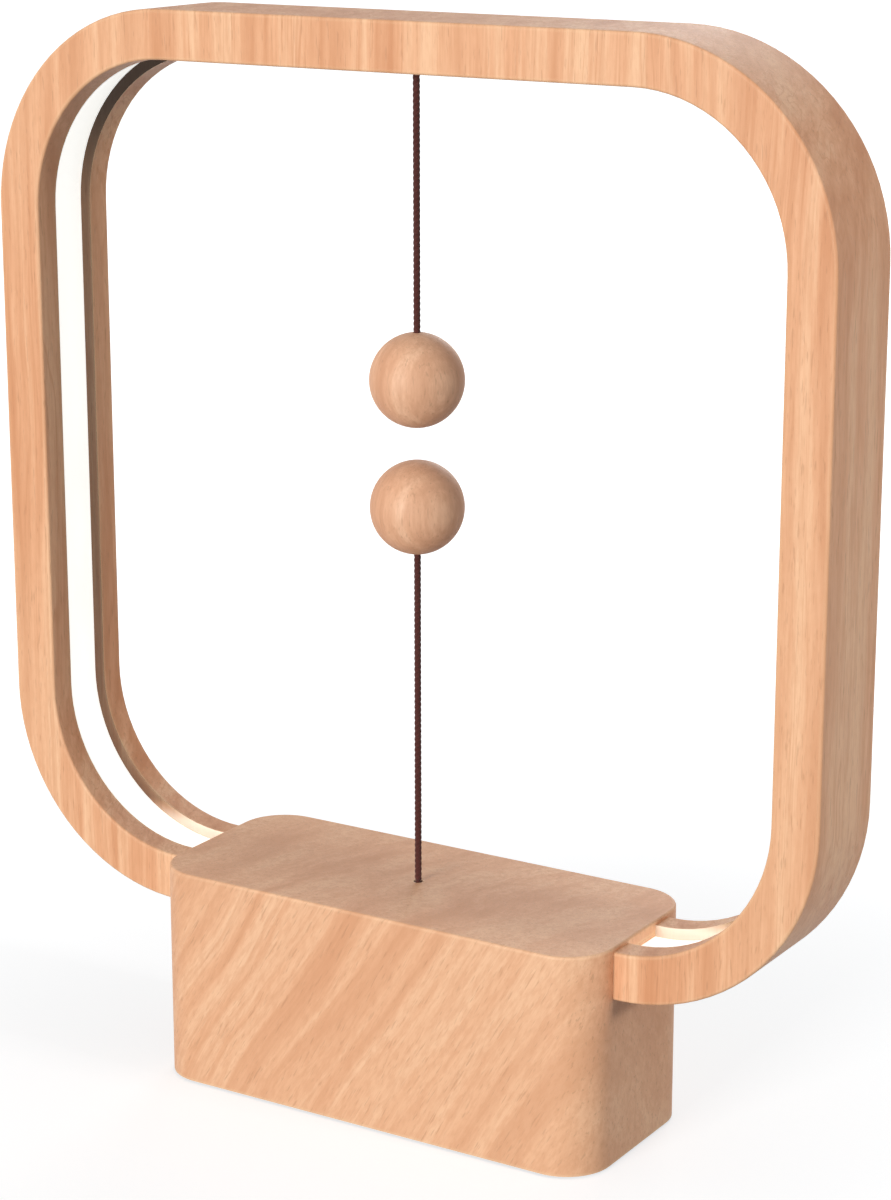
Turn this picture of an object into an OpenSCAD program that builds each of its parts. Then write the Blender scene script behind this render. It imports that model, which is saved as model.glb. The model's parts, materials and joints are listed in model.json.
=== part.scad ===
// Magnetic balance lamp: a rounded wooden ring with a light strip in its inner face, held by a
// wooden base. One wooden ball hangs from the top of the ring, a second one is drawn up to it by
// magnets and keeps its string taut, and that string works the switch inside the base.
// X is the width, -Y the front, Z up. The origin is the middle of the surface it stands on.

/* [Base] */
// Width of the base
base_w = 110; // [96:1:130]
// Depth of the base
base_d = 46.5; // [44:0.5:60]
// Height of the base's top above the table
base_h = 49; // [46:0.5:60]
// Radius of the base's upright corners
base_corner_r = 10.5; // [8:0.5:11]
// Radius that eases the base's top edge
base_edge_r = 0.6; // [0.3:0.1:1.5]
// Thickness of the front and rear walls
base_wall = 6.5; // [6:0.5:8]
// Thickness of the end walls that hold the ring
base_end_wall = 11; // [10:0.5:14]
// Thickness of the base's roof
base_roof = 5; // [4.5:0.5:7]
// Thickness of the bottom plate
plate_t = 2.5; // [2:0.5:4]
// How far the plate laps onto the walls
plate_lap = 2.5; // [2:0.5:3]
// How far the plate lies above the walls' lower edge
plate_inset = 0.5; // [0.3:0.1:1]
// Diameter of the screws that hold the plate
plate_screw_d = 2.6; // [2:0.2:3]
// Length of the screws that hold the plate
plate_screw_l = 10; // [8:1:14]
// Diameter of the wooden posts that take the plate's screws
post_d = 10; // [8:0.5:11]
// Diameter of a foot
foot_d = 9; // [6:1:12]
// Height that the feet lift the walls off the table
foot_stand = 0.5; // [0.3:0.1:2]
// Depth of the pocket that holds a foot
foot_pocket = 0.5; // [0.3:0.1:1]

/* [Ring] */
// Outer width of the ring
ring_w = 200; // [180:1:230]
// Outer height of the ring
ring_h = 196.5; // [190:0.5:230]
// Thickness of the ring, from outer to inner face
ring_t = 10.5; // [10:0.5:14]
// Depth of the ring, from front to back
ring_d = 24.5; // [22:0.5:25]
// Radius of the ring's outer corners
ring_r = 44; // [36:1:50]
// Radius that eases the ring's edges
ring_edge_r = 0.6; // [0.3:0.1:1.2]
// Wood that covers the ring's lower bar on top of the base
ring_sink = 1; // [0.5:0.5:2]
// Length of the tenons that enter the base
tenon_l = 9.5; // [6:0.5:9.5]
// Width of a tenon
tenon_w = 16; // [12:0.5:18]
// Height of a tenon
tenon_h = 7; // [5:0.5:7.5]
// Diameter of the wire hole in a tenon
wire_hole_d = 3.2; // [3:0.1:4]

/* [Light strip] */
// Width of the groove in the ring's inner face
groove_w = 12; // [11:0.5:14]
// Wood left behind the groove
groove_back = 4; // [3.5:0.5:5]
// Thickness of the diffuser
diffuser_t = 1.5; // [1:0.1:2]
// How far the diffuser lies below the ring's inner face
diffuser_recess = 2.5; // [1.5:0.1:2.5]
// How far the diffuser's lips reach into the groove's sides
lip_w = 0.6; // [0.4:0.1:1]
// Thickness of the diffuser's lips
lip_t = 0.8; // [0.5:0.1:1]
// Width of the light board
board_w = 10; // [8:0.5:10.5]
// Thickness of the light board
board_t = 0.4; // [0.2:0.1:0.6]
// Length of a light chip
chip_l = 3.5; // [2.5:0.1:4]
// Width of a light chip
chip_w = 2.8; // [2:0.1:4]
// Height of a light chip
chip_h = 0.8; // [0.6:0.1:1]
// Spacing of the light chips
chip_pitch = 10; // [8:0.5:16]

/* [Balls and strings] */
// Diameter of a ball
ball_d = 20; // [18:0.5:24]
// Gap that the magnets keep between the balls
ball_gap = 7.1; // [4:0.1:12]
// Length of string between the base's top and the lower ball
lower_string_l = 73.4; // [60:0.1:80]
// Diameter of the string
string_d = 1.4; // [1:0.1:1.6]
// Length of string glued into a ball
string_seat = 3; // [2:0.5:4]
// Diameter of a magnet
magnet_d = 8; // [6:0.5:10]
// Thickness of a magnet
magnet_t = 4; // [2:0.5:5]
// Wood between a magnet and the other ball
magnet_skin = 2; // [1.5:0.5:3]
// Diameter of the knot at the top of the upper string
knot_d = 3.6; // [3:0.1:3.8]
// Outer diameter of the socket that holds the knot
socket_d = 6; // [5.6:0.2:7]
// Diameter of the socket's flange
socket_flange_d = 8; // [7.5:0.5:11]
// Thickness of the socket's flange
socket_flange_t = 0.8; // [0.5:0.1:1.2]
// Depth of the socket's hole in the wood
socket_hole = 2; // [1:0.5:2]

/* [Pull switch] */
// Travel of the string's lower end between on and off
pull_travel = 2.5; // [1.5:0.5:3]
// Length of the lever from its pin to the string
lever_l = 22; // [20:0.5:24]
// Thickness of the lever's arm
lever_t = 2; // [1.5:0.5:3]
// Diameter of the lever's hub
hub_d = 6; // [5:0.5:7]
// Diameter of the lever's pin
pin_d = 2; // [1.5:0.1:2.5]
// Length of the return spring with the lamp on
spring_l = 17.8; // [14:0.1:19]
// Outer diameter of the return spring
spring_d = 4.8; // [4.4:0.1:5.2]
// Diameter of the spring's wire
spring_wire_d = 0.5; // [0.4:0.1:0.6]
// Number of the spring's curls
spring_turns = 8; // [5:1:10]
// Diameter of the bead under the lever
bead_d = 3.8; // [3.4:0.1:4.4]
// Length of the switch's body
switch_l = 12.8; // [11:0.1:13]
// Depth of the switch's body, front to back
switch_d = 6; // [5:0.5:7]
// Height of the switch's body
switch_h = 6.5; // [6:0.5:8]
// Distance from the string to the middle of the switch
switch_x = 11; // [10.5:0.1:11.5]
// Diameter of the switch's button
button_d = 2; // [1.6:0.1:2.4]
// How far the pressed button stands out
button_out = 0.6; // [0.4:0.1:1]
// Travel of the button
button_travel = 1.1; // [0.8:0.1:1.2]
// Diameter of the screws through the switch
switch_screw_d = 2; // [1.6:0.1:2.2]
// Thickness of the bracket's plate
bracket_t = 2.5; // [2:0.5:3]
// Thickness of the bracket's cheeks
cheek_t = 2; // [1.5:0.5:3]
// Diameter of the screws that hold the bracket
bracket_screw_d = 2.2; // [2:0.1:2.5]
// Outer diameter of the guide that the string runs in
guide_d = 5; // [4:0.5:6]
// Diameter of the guide's flange
guide_flange_d = 7.5; // [6.5:0.5:8]
// Thickness of the guide's flange
guide_flange_t = 1; // [0.8:0.1:1.5]
// Length of the guide in the roof
guide_l = 3; // [2:0.5:3.5]

/* [Power board] */
// Length of the circuit board past the middle of the switch
pcb_past = 5; // [4:0.5:8]
// Depth of the circuit board, front to back
pcb_d = 22; // [20:1:24]
// Thickness of the circuit board
pcb_t = 1.6; // [1:0.2:2]
// Height of the spacers under the circuit board
spacer_h = 2; // [2:0.5:4]
// Gap between the steel ballast plate and the wood round it
ballast_gap = 1.25; // [0.5:0.25:3]
// Thickness of the steel ballast plate
ballast_t = 5; // [3:0.5:6]
// Width of the power socket
inlet_w = 8.9; // [8.5:0.1:9.2]
// Height of the power socket
inlet_h = 3.2; // [3:0.1:3.4]
// Length of the power socket
inlet_l = 7.3; // [7:0.1:9]
// Width of the plug's recess in the rear wall
recess_w = 12.6; // [12:0.1:14]
// Height of the plug's recess in the rear wall
recess_h = 7; // [6.5:0.1:8]
// Depth of the plug's recess in the rear wall
recess_l = 2.6; // [2:0.1:3]

/* [Clearances] */
// Gap all round a glued or snapped-in piece
seat_gap = 0.05; // [0.03:0.01:0.1]
// Gap between two ends of the string where it bends
bend_gap = 0.05; // [0.03:0.01:0.1]
// Radial clearance of a pin or string that runs in a hole
run_gap = 0.1; // [0.05:0.01:0.1]
// Gap between loose pieces that don't touch
free_gap = 0.3; // [0.2:0.05:0.5]

/* [Hidden] */
$fn = 96;
eps = 0.01;

// Base levels and the room inside it.
plate_z = foot_stand + plate_inset;
floor_z = plate_z + plate_t;
roof_z = base_h - base_roof;
cavity_w = base_w - 2 * base_end_wall;
cavity_d = base_d - 2 * base_wall;
cavity_r = 2;
post_gap = 2;
foot_gap = 0.4;
post_x = cavity_w / 2 - post_d / 2;
post_y = cavity_d / 2 - post_d / 2;
plate_w = cavity_w + 2 * plate_lap;
plate_d = cavity_d + 2 * plate_lap;
plate_r = cavity_r + plate_lap;

// Ring levels. u counts from the ring's outer face inwards.
ring_z = base_h - ring_sink - ring_t;
ring_mid_z = ring_z + ring_h / 2;
ring_top_z = ring_z + ring_h;
diffuser_u = ring_t - diffuser_recess - diffuser_t;
chip_gap = 0.05;
wire_lift = 1;
tenon_z = ring_z + ring_t / 2;
wire_z = ring_z + groove_back + board_t + wire_lift;

// Balls and strings. A pivot is the point that a string swings about.
lower_pivot_z = base_h - free_gap;
lower_ball_z = base_h + lower_string_l + ball_d / 2;
upper_ball_z = lower_ball_z + ball_d + ball_gap;
bend_half = string_d / 2 + bend_gap;
diffuser_face_z = ring_top_z - ring_t + diffuser_recess;
socket_z = diffuser_face_z - socket_flange_t;
socket_top_z = ring_top_z - groove_back + socket_hole - free_gap;
upper_pivot_z = socket_z - bend_half - 2 * bend_gap;
knot_room_d = knot_d + 2 * run_gap;
knot_z = diffuser_face_z + knot_room_d / 2;
string_hole_d = string_d + 2 * run_gap;

// Pull switch. The lever lies level with the lamp on, and its free end drops with it off.
flange_z = roof_z - guide_flange_t;
lever_top_z = flange_z - spring_l;
lever_z = lever_top_z - lever_t / 2;
bracket_z = roof_z - bracket_t;
cheek_in = switch_d / 2 + seat_gap;
lever_w = switch_d - 2 * free_gap + 2 * seat_gap;
cheek_rim = 2;
nose_d = hub_d + 1.5 * cheek_rim;
cheek_x0 = switch_x - switch_l / 2 + cheek_rim / 2;
cheek_x1 = lever_l + hub_d / 2 + cheek_rim;
bead_z = lever_z - lever_t / 2 - run_gap - bead_d / 2;
eye_rim = 0.5;
eye_d = string_d + 2 * eye_rim;
button_z = lever_top_z + run_gap;
button_stay = 1.7;
button_in = button_travel + button_stay;
button_room = 1.2;
switch_z = button_z + button_out;
lever_drop = asin(pull_travel / lever_l);
stop_t = 1.8;
stop_x = lever_l - hub_d / 2 - free_gap - stop_t;
stop_z = lever_z - (lever_l - stop_x) * tan(lever_drop) - lever_t / 2 / cos(lever_drop) - run_gap;
bracket_rim = 3;
bracket_screw_y = cheek_in + cheek_t + bracket_rim;
bracket_screw_in = 3.4;
bracket_w = 2 * (bracket_screw_y + bracket_rim);
bracket_x0 = -guide_flange_d / 2 - cheek_rim;
switch_hole_x = switch_l / 4;
switch_hole_z = switch_z + switch_h - switch_screw_d;
pin_head_t = 0.5;

// Power board, against the rear wall and with its socket in line with the string.
ballast_z = floor_z;
spacer_z = ballast_z + ballast_t;
pcb_z = spacer_z + spacer_h;
pcb_top = pcb_z + pcb_t;
pcb_x0 = -(post_x - post_d / 2 - post_gap);
pcb_x1 = switch_x + pcb_past;
pcb_rear_gap = 0.5;
pcb_y1 = cavity_d / 2 - pcb_rear_gap;
pcb_y0 = pcb_y1 - pcb_d;
inlet_z = pcb_top + inlet_h / 2;
inlet_sink = 0.2;
inlet_y1 = base_d / 2 - recess_l - inlet_sink;
inlet_wall = 0.3;
tongue_w = 6.3;
tongue_t = 0.7;
tongue_l = 5;
tongue_back = 0.5;
spacer_d = 4.4;
board_screw_d = 2;
board_screw_in = 3;
board_screw_rim = 3.2;

// Parts on the circuit board.
part_gap = 3.5;
coil_w = 6;
coil_h = 2.6;
capacitor_d = 4;
capacitor_h = 3;
driver_l = 5;
driver_w = 4;
driver_h = 1.5;
regulator_l = 4;
regulator_w = 3;
regulator_h = 1;

// A screw's head, as shares of the screw's diameter.
head_w = 1.9;
head_h = 0.65;

// Routes of the leads inside the base, each as points that the wire runs through.
lead_d = 1;
lead_bend = 3;
light_lead_x = pcb_x0 + 7;
light_lead_y = 0.9;
switch_lead_x = [switch_x - lead_bend, switch_x + lead_bend];
switch_top = switch_z + switch_h;
switch_lead_y = cheek_in + cheek_t + bracket_rim + lead_d / 2;

// ---- shared shapes ----

// A rectangle with round corners.
module rounded_rect(w, h, r) {
    square([w - 2 * r, h], center = true);
    square([w, h - 2 * r], center = true);
    for (sx = [-1, 1], sy = [-1, 1])
        translate([sx * (w / 2 - r), sy * (h / 2 - r)])
            circle(r);
}

// A block with round upright corners, standing on z.
module rounded_block(w, d, h, r, z = 0) {
    translate([0, 0, z])
        linear_extrude(h)
            rounded_rect(w, d, r);
}

// A cylinder along Y through a point.
module cross_pin(x, z, d, l) {
    translate([x, 0, z])
        rotate([90, 0, 0])
            cylinder(d = d, h = l, center = true);
}

// Sweeps a profile round the whole ring. The profile's first axis is u, its second the depth.
module round_ring() {
    sides = [[ring_w, ring_h], [ring_h, ring_w], [ring_w, ring_h], [ring_h, ring_w]];
    translate([0, 0, ring_mid_z])
        rotate([90, 0, 0]) {
            for (n = [0 : 3])
                rotate(90 * n)
                    translate([sides[n][0] / 2, 0, 0])
                        rotate([90, 0, 0])
                            linear_extrude(sides[n][1] - 2 * ring_r, center = true)
                                mirror([1, 0])
                                    children();
            for (n = [0 : 3])
                rotate(90 * n)
                    translate([sides[n][0] / 2 - ring_r, sides[n][1] / 2 - ring_r, 0])
                        rotate_extrude(angle = 90)
                            translate([ring_r, 0])
                                mirror([1, 0])
                                    children();
        }
}

// The room that the base takes out of the ring's lower bar.
module base_zone() {
    translate([-base_w / 2, -ring_d, ring_z - 1])
        cube([base_w, 2 * ring_d, base_h - ring_z + 1]);
}

// A band of rectangular section in the ring, from u to u + t.
module ring_band(u, t, w) {
    difference() {
        round_ring()
            translate([u, -w / 2])
                square([t, w]);
        base_zone();
    }
}

// A tube along points, with a ring of corners at each. refs are directions square to it.
module tube(points, refs, d, sides) {
    n = len(points);
    tangents = [for (i = [0 : n - 1]) unit(
        (i == 0 ? [0, 0, 0] : unit(points[i] - points[i - 1]))
        + (i == n - 1 ? [0, 0, 0] : unit(points[i + 1] - points[i])))];
    corners = [for (i = [0 : n - 1], k = [0 : sides - 1])
        let (a = unit(cross(refs[i], tangents[i])), b = cross(tangents[i], a))
        points[i] + d / 2 * (cos(360 * k / sides) * a + sin(360 * k / sides) * b)];
    walls = [for (i = [0 : n - 2], k = [0 : sides - 1])
        let (a = i * sides + k, b = i * sides + (k + 1) % sides)
        each [[a, b + sides, b], [a, a + sides, b + sides]]];
    first = [for (k = [1 : sides - 2]) [0, k, k + 1]];
    last = [for (k = [1 : sides - 2]) let (c = (n - 1) * sides) [c, c + k + 1, c + k]];
    polyhedron(concat(corners), concat(walls, first, last));
}

function unit(v) = v / norm(v);

// ---- base ----

module base_block() {
    e = base_edge_r;
    difference() {
        rounded_block(base_w, base_d, base_h - foot_stand, base_corner_r, foot_stand);
        edge_cut(base_w, base_d, base_corner_r, e);
    }
}

// What easing takes off the top edge: a quarter hollow round all four sides.
module edge_cut(w, d, r, e) {
    sides = [[w, d], [d, w], [w, d], [d, w]];
    translate([0, 0, base_h])
        for (n = [0 : 3])
            rotate(90 * n) {
                translate([sides[n][0] / 2, 0, 0])
                    rotate([90, 0, 0])
                        linear_extrude(sides[n][1] - 2 * r, center = true)
                            edge_profile(e);
                translate([sides[n][0] / 2 - r, sides[n][1] / 2 - r, 0])
                    rotate_extrude(angle = 90)
                        translate([r, 0])
                            edge_profile(e);
            }
}

module edge_profile(e) {
    difference() {
        translate([-e, -e])
            square([2 * e, 2 * e]);
        translate([-e, -e])
            circle(e, $fn = 32);
    }
}

module base_shell() {
    color("burlywood")
        difference() {
            base_block();
            difference() {
                rounded_block(cavity_w, cavity_d, roof_z, cavity_r);
                plate_posts();
            }
            rounded_block(plate_w + 2 * seat_gap, plate_d + 2 * seat_gap, floor_z,
                plate_r + seat_gap);
            at_posts(floor_z)
                cylinder(d = plate_screw_d, h = plate_screw_l - plate_t + free_gap);
            for (s = [-1, 1])
                translate([s * base_w / 2, 0, 0])
                    mortise();
            translate([0, 0, roof_z - eps])
                cylinder(d = guide_d, h = guide_l + eps);
            cylinder(d = string_d + 2 * free_gap, h = base_h + 1);
            at_bracket_screws(roof_z - eps)
                cylinder(d = bracket_screw_d, h = bracket_screw_in + run_gap + eps);
            rear_opening();
        }
}

// Runs its children at the four posts, at height z.
module at_posts(z) {
    for (sx = [-1, 1], sy = [-1, 1])
        translate([sx * post_x, sy * post_y, z])
            children();
}

module plate_posts() {
    at_posts(0)
        cylinder(d = post_d, h = roof_z + 1);
    // Webs that tie a post to the walls in its corner.
    for (sx = [-1, 1], sy = [-1, 1])
        translate([sx * (post_x + post_d / 4), sy * (post_y + post_d / 4), 0])
            linear_extrude(roof_z + 1)
                square([post_d / 2, post_d / 2], center = true);
}

module mortise() {
    g = seat_gap;
    translate([0, 0, tenon_z])
        cube([2 * base_end_wall + eps, tenon_w + 2 * g, tenon_h + 2 * g], center = true);
}

module rear_opening() {
    translate([0, base_d / 2 - recess_l, inlet_z])
        rotate([-90, 0, 0])
            linear_extrude(recess_l + 1)
                rounded_rect(recess_w, recess_h, recess_h / 2 - eps);
    translate([0, cavity_d / 2 - 1, inlet_z])
        rotate([-90, 0, 0])
            linear_extrude(base_wall + 2)
                rounded_rect(inlet_w + 2 * run_gap, inlet_h + 2 * run_gap, inlet_h / 2);
}

module base_plate() {
    color("dimgray")
        difference() {
            rounded_block(plate_w, plate_d, plate_t, plate_r, plate_z);
            at_posts(plate_z - eps) {
                cylinder(d = plate_screw_d + 2 * run_gap, h = plate_t + 1);
                cylinder(d1 = 2 * plate_screw_d, d2 = plate_screw_d, h = plate_screw_d / 2);
            }
            at_feet(plate_z - eps)
                cylinder(d = foot_d + 2 * seat_gap, h = foot_pocket + eps);
        }
}

// Countersunk screws, head down.
module plate_screws() {
    color("silver")
        at_posts(plate_z) {
            cylinder(d = plate_screw_d, h = plate_screw_l);
            cylinder(d1 = 2 * plate_screw_d - 0.2, d2 = plate_screw_d, h = plate_screw_d / 2 - 0.1);
        }
}

module at_feet(z) {
    foot_x = post_x - plate_screw_d - foot_gap - foot_d / 2;
    for (sx = [-1, 1], sy = [-1, 1])
        translate([sx * foot_x, sy * post_y, z])
            children();
}

module rubber_feet() {
    color("darkslategray")
        at_feet(0)
            cylinder(d = foot_d, h = plate_z + foot_pocket);
}

// A steel plate between the posts, tapped for the board's screws.
module ballast_plate() {
    color("slategray")
        difference() {
            rounded_block(2 * (post_x - post_d / 2 - ballast_gap), cavity_d - 2 * ballast_gap,
                ballast_t, cavity_r, ballast_z);
            at_board_screws(spacer_z - board_screw_in - run_gap)
                cylinder(d = board_screw_d, h = ballast_t);
        }
}

// ---- ring and light ----

module ring_profile() {
    lip_half = groove_w / 2 + lip_w + seat_gap;
    difference() {
        translate([ring_t / 2, 0])
            rounded_rect(ring_t, ring_d, ring_edge_r, $fn = 32);
        translate([groove_back, -groove_w / 2])
            square([ring_t, groove_w]);
        translate([diffuser_u - seat_gap, -lip_half])
            square([lip_t + 2 * seat_gap, 2 * lip_half]);
    }
}

module ring_frame() {
    color("burlywood")
        difference() {
            union() {
                difference() {
                    round_ring()
                        ring_profile();
                    base_zone();
                }
                for (s = [-1, 1])
                    translate([s * (base_w / 2 - tenon_l / 2), 0, tenon_z])
                        cube([tenon_l, tenon_w, tenon_h], center = true);
            }
            for (s = [-1, 1])
                translate([s * base_w / 2, 0, wire_z + wire_hole_d / 2 - wire_lift])
                    rotate([0, 90, 0])
                        cylinder(d = wire_hole_d, h = 2 * tenon_l + 2, center = true);
            translate([0, 0, ring_top_z - groove_back - 1])
                cylinder(d = socket_d, h = socket_hole + 1);
        }
}

module light_diffuser() {
    color("white")
        difference() {
            union() {
                ring_band(diffuser_u, diffuser_t, groove_w - 2 * seat_gap);
                ring_band(diffuser_u, lip_t, groove_w + 2 * lip_w);
            }
            translate([0, 0, diffuser_face_z - 1])
                cylinder(d = socket_d + 2 * seat_gap, h = diffuser_t + 2);
        }
}

module light_board() {
    color("ivory")
        difference() {
            ring_band(groove_back, board_t, board_w);
            translate([0, 0, ring_top_z - groove_back - 1])
                cylinder(d = socket_d + 4 * run_gap, h = 2);
        }
}

// Chips stand on the board, along the three upper sides and round the four corners.
module light_chips() {
    u = groove_back + board_t + chip_gap;
    arc = (ring_r - u) * PI / 2;
    corner_chips = floor(arc / chip_pitch);
    sides = [[ring_w, ring_h], [ring_h, ring_w], [ring_w, ring_h], [ring_h, ring_w]];
    color("khaki")
        translate([0, 0, ring_mid_z])
            rotate([90, 0, 0])
                for (n = [0 : 3])
                    rotate(90 * n) {
                        run = sides[n][1] - 2 * ring_r;
                        count = n == 3 ? 0 : 2 * floor(run / chip_pitch / 2);
                        if (count > 0)
                            for (i = [0 : count - 1])
                                translate([sides[n][0] / 2 - u, (i - (count - 1) / 2) * chip_pitch, 0])
                                    light_chip();
                        translate([sides[n][0] / 2 - ring_r, sides[n][1] / 2 - ring_r, 0])
                            for (i = [0 : corner_chips - 1])
                                rotate(90 * (i + 0.5) / corner_chips)
                                    translate([ring_r - u, 0, 0])
                                        light_chip();
                    }
}

module light_chip() {
    translate([-chip_h / 2, 0, 0])
        cube([chip_h, chip_l, chip_w], center = true);
}

// Two leads from the light board through the left tenon and down to the circuit board.
module light_leads() {
    z = wire_z + lead_d / 2;
    x0 = -base_w / 2;
    x1 = light_lead_x;
    b = lead_bend;
    color("crimson")
        for (s = [-1, 1]) {
            y = s * light_lead_y;
            points = [
                [x0 - 0.7 * b, y, z], [x0 + b, y, z], [x1 - 1.3 * b, y, z], [x1 - b / 2, y, z - b / 5],
                [x1 - b / 7, y, z - 0.7 * b], [x1, y, z - 1.3 * b], [x1, y, pcb_top]
            ];
            tube(points, [for (p = points) [0, 1, 0]], lead_d, 8);
        }
}

// ---- upper ball ----

// Turned brass: a flange below the diffuser, a shank through to the wood, a knot's room inside.
module string_socket() {
    color("goldenrod")
        difference() {
            union() {
                translate([0, 0, socket_z])
                    cylinder(d = socket_flange_d, h = socket_flange_t);
                translate([0, 0, socket_z])
                    cylinder(d = socket_d, h = socket_top_z - socket_z);
            }
            translate([0, 0, knot_z])
                sphere(d = knot_room_d);
            translate([0, 0, knot_z])
                cylinder(d = knot_room_d, h = socket_top_z - knot_z + 1);
            translate([0, 0, socket_z - 1])
                cylinder(d = string_hole_d, h = knot_z - socket_z + 1);
        }
}

module upper_knot() {
    stub_z = upper_pivot_z + bend_half;
    color("maroon") {
        translate([0, 0, knot_z])
            sphere(d = knot_d);
        translate([0, 0, stub_z])
            cylinder(d = string_d, h = knot_z - stub_z);
    }
}

module string_bend(z) {
    color("maroon")
        translate([0, 0, z])
            sphere(d = string_d);
}

module upper_bend() {
    string_bend(upper_pivot_z);
}

module upper_string() {
    z0 = upper_ball_z + ball_d / 2 - string_seat;
    color("maroon")
        translate([0, 0, z0])
            cylinder(d = string_d, h = upper_pivot_z - bend_half - z0);
}

// A ball with its string upwards: the bore comes from the string's side and ends at the skin.
module ball_body() {
    difference() {
        sphere(d = ball_d);
        translate([0, 0, magnet_skin - ball_d / 2])
            cylinder(d = magnet_d, h = ball_d);
    }
}

module ball_magnet() {
    translate([0, 0, magnet_skin - ball_d / 2])
        cylinder(d = magnet_d, h = magnet_t);
}

module ball_plug() {
    plug_z = magnet_skin - ball_d / 2 + magnet_t;
    difference() {
        intersection() {
            sphere(d = ball_d);
            translate([0, 0, plug_z])
                cylinder(d = magnet_d, h = ball_d);
        }
        translate([0, 0, ball_d / 2 - string_seat - free_gap])
            cylinder(d = string_hole_d, h = string_seat + 1);
    }
}

module place_upper() {
    translate([0, 0, upper_ball_z])
        children();
}

module place_lower() {
    translate([0, 0, lower_ball_z])
        mirror([0, 0, 1])
            children();
}

module upper_ball() {
    color("burlywood")
        place_upper()
            ball_body();
}

module upper_magnet() {
    color("silver")
        place_upper()
            ball_magnet();
}

module upper_plug() {
    color("tan")
        place_upper()
            ball_plug();
}

// ---- lower ball and its string ----

module lower_ball() {
    color("burlywood")
        place_lower()
            ball_body();
}

module lower_magnet() {
    color("silver")
        place_lower()
            ball_magnet();
}

module lower_plug() {
    color("tan")
        place_lower()
            ball_plug();
}

module lower_string() {
    z0 = lower_pivot_z + bend_half;
    color("maroon")
        translate([0, 0, z0])
            cylinder(d = string_d, h = lower_ball_z - ball_d / 2 + string_seat - z0);
}

module lower_bend() {
    string_bend(lower_pivot_z);
}

// ---- pull switch ----

module string_guide() {
    color("whitesmoke")
        difference() {
            union() {
                translate([0, 0, flange_z])
                    cylinder(d = guide_flange_d, h = guide_flange_t);
                translate([0, 0, roof_z])
                    cylinder(d = guide_d, h = guide_l);
            }
            translate([0, 0, flange_z - 1])
                cylinder(d = string_hole_d, h = guide_flange_t + guide_l + 2);
        }
}

module inner_string() {
    z0 = bead_z - bead_d / 2;
    color("maroon")
        translate([0, 0, z0])
            cylinder(d = string_d, h = lower_pivot_z - bend_half - z0);
}

module pull_bead() {
    color("goldenrod")
        difference() {
            translate([0, 0, bead_z])
                sphere(d = bead_d);
            translate([0, 0, bead_z - bead_d])
                cylinder(d = string_d, h = 2 * bead_d);
        }
}

// The coil runs from the lever's eye to the guide's flange; each end stands square to its seat.
spring_r = (spring_d - spring_wire_d) / 2;
spring_steps = 8 * spring_turns;
spring_rise = spring_l - 2 * spring_wire_d;
spring_points = concat(
    [[spring_r, 0, 0]],
    [for (i = [0 : spring_steps]) [
        spring_r * cos(45 * i),
        spring_r * sin(45 * i),
        spring_wire_d + spring_rise * i / spring_steps
    ]],
    [[spring_r, 0, spring_l]]);
spring_refs = concat(
    [[1, 0, 0]],
    [for (i = [0 : spring_steps]) [cos(45 * i), sin(45 * i), 0]],
    [[1, 0, 0]]);
spring_self_gap = min([for (i = [1 : spring_steps - 6], j = [i + 6 : spring_steps])
    norm(spring_points[i] - spring_points[j])]) - spring_wire_d;
echo(spring_self_gap = spring_self_gap);

module return_spring() {
    color("silver")
        translate([0, 0, lever_top_z])
            tube(spring_points, spring_refs, spring_wire_d, 6);
}

// Screws beside the cheeks hold the bracket to the roof.
module at_bracket_screws(z) {
    for (s = [-1, 1])
        translate([switch_x, s * bracket_screw_y, z])
            children();
}

module switch_bracket() {
    color("lightgray")
        difference() {
            union() {
                translate([bracket_x0, -bracket_w / 2, bracket_z])
                    cube([cheek_x1 - bracket_x0, bracket_w, bracket_t]);
                for (s = [-1, 1])
                    translate([0, s * (cheek_in + cheek_t / 2), 0])
                        cheek();
                lever_stop();
            }
            translate([0, 0, bracket_z - 1])
                cylinder(d = guide_flange_d + 2 * free_gap, h = bracket_t + 2);
            at_bracket_screws(bracket_z - 1)
                cylinder(d = bracket_screw_d + 2 * run_gap, h = bracket_t + 2);
            cross_pin(lever_l, lever_z, pin_d, bracket_w);
            at_switch_screws()
                cylinder(d = switch_screw_d, h = bracket_w, center = true);
            lead_window();
        }
}

// One cheek: a plate under the bracket with a round nose about the lever's pin.
module cheek() {
    low = switch_z + button_out;
    translate([cheek_x0, -cheek_t / 2, low])
        cube([cheek_x1 - cheek_x0, cheek_t, bracket_z - low + eps]);
    cross_pin(lever_l, lever_z, nose_d, cheek_t);
    translate([lever_l - nose_d / 2, -cheek_t / 2, lever_z])
        cube([nose_d, cheek_t, bracket_z - lever_z]);
}

// The bar between the cheeks that the lever comes to rest on when the string goes slack.
module lever_stop() {
    half = cheek_in + cheek_t;
    translate([stop_x, -half, stop_z - stop_t])
        cube([stop_t, 2 * half, stop_t]);
    for (s = [-1, 1])
        translate([stop_x, s * (cheek_in + cheek_t / 2) - cheek_t / 2, stop_z - stop_t])
            cube([lever_l - stop_x, cheek_t, lever_z - stop_z + stop_t]);
}

// The rear cheek is open above the switch, where its leads pass.
module lead_window() {
    w = switch_lead_x[1] - switch_lead_x[0] + 3 * lead_d;
    translate([switch_x - w / 2, cheek_in - 1, switch_top + lead_d / 2])
        cube([w, cheek_t + 2, bracket_z - switch_top - cheek_rim]);
}

// A screw upwards, with a flat round head below its seat.
module screw(d, l) {
    translate([0, 0, -head_h * d])
        cylinder(d = head_w * d, h = head_h * d);
    cylinder(d = d, h = l);
}

module bracket_screws() {
    color("silver")
        at_bracket_screws(bracket_z)
            screw(bracket_screw_d, bracket_t + bracket_screw_in);
}

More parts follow.
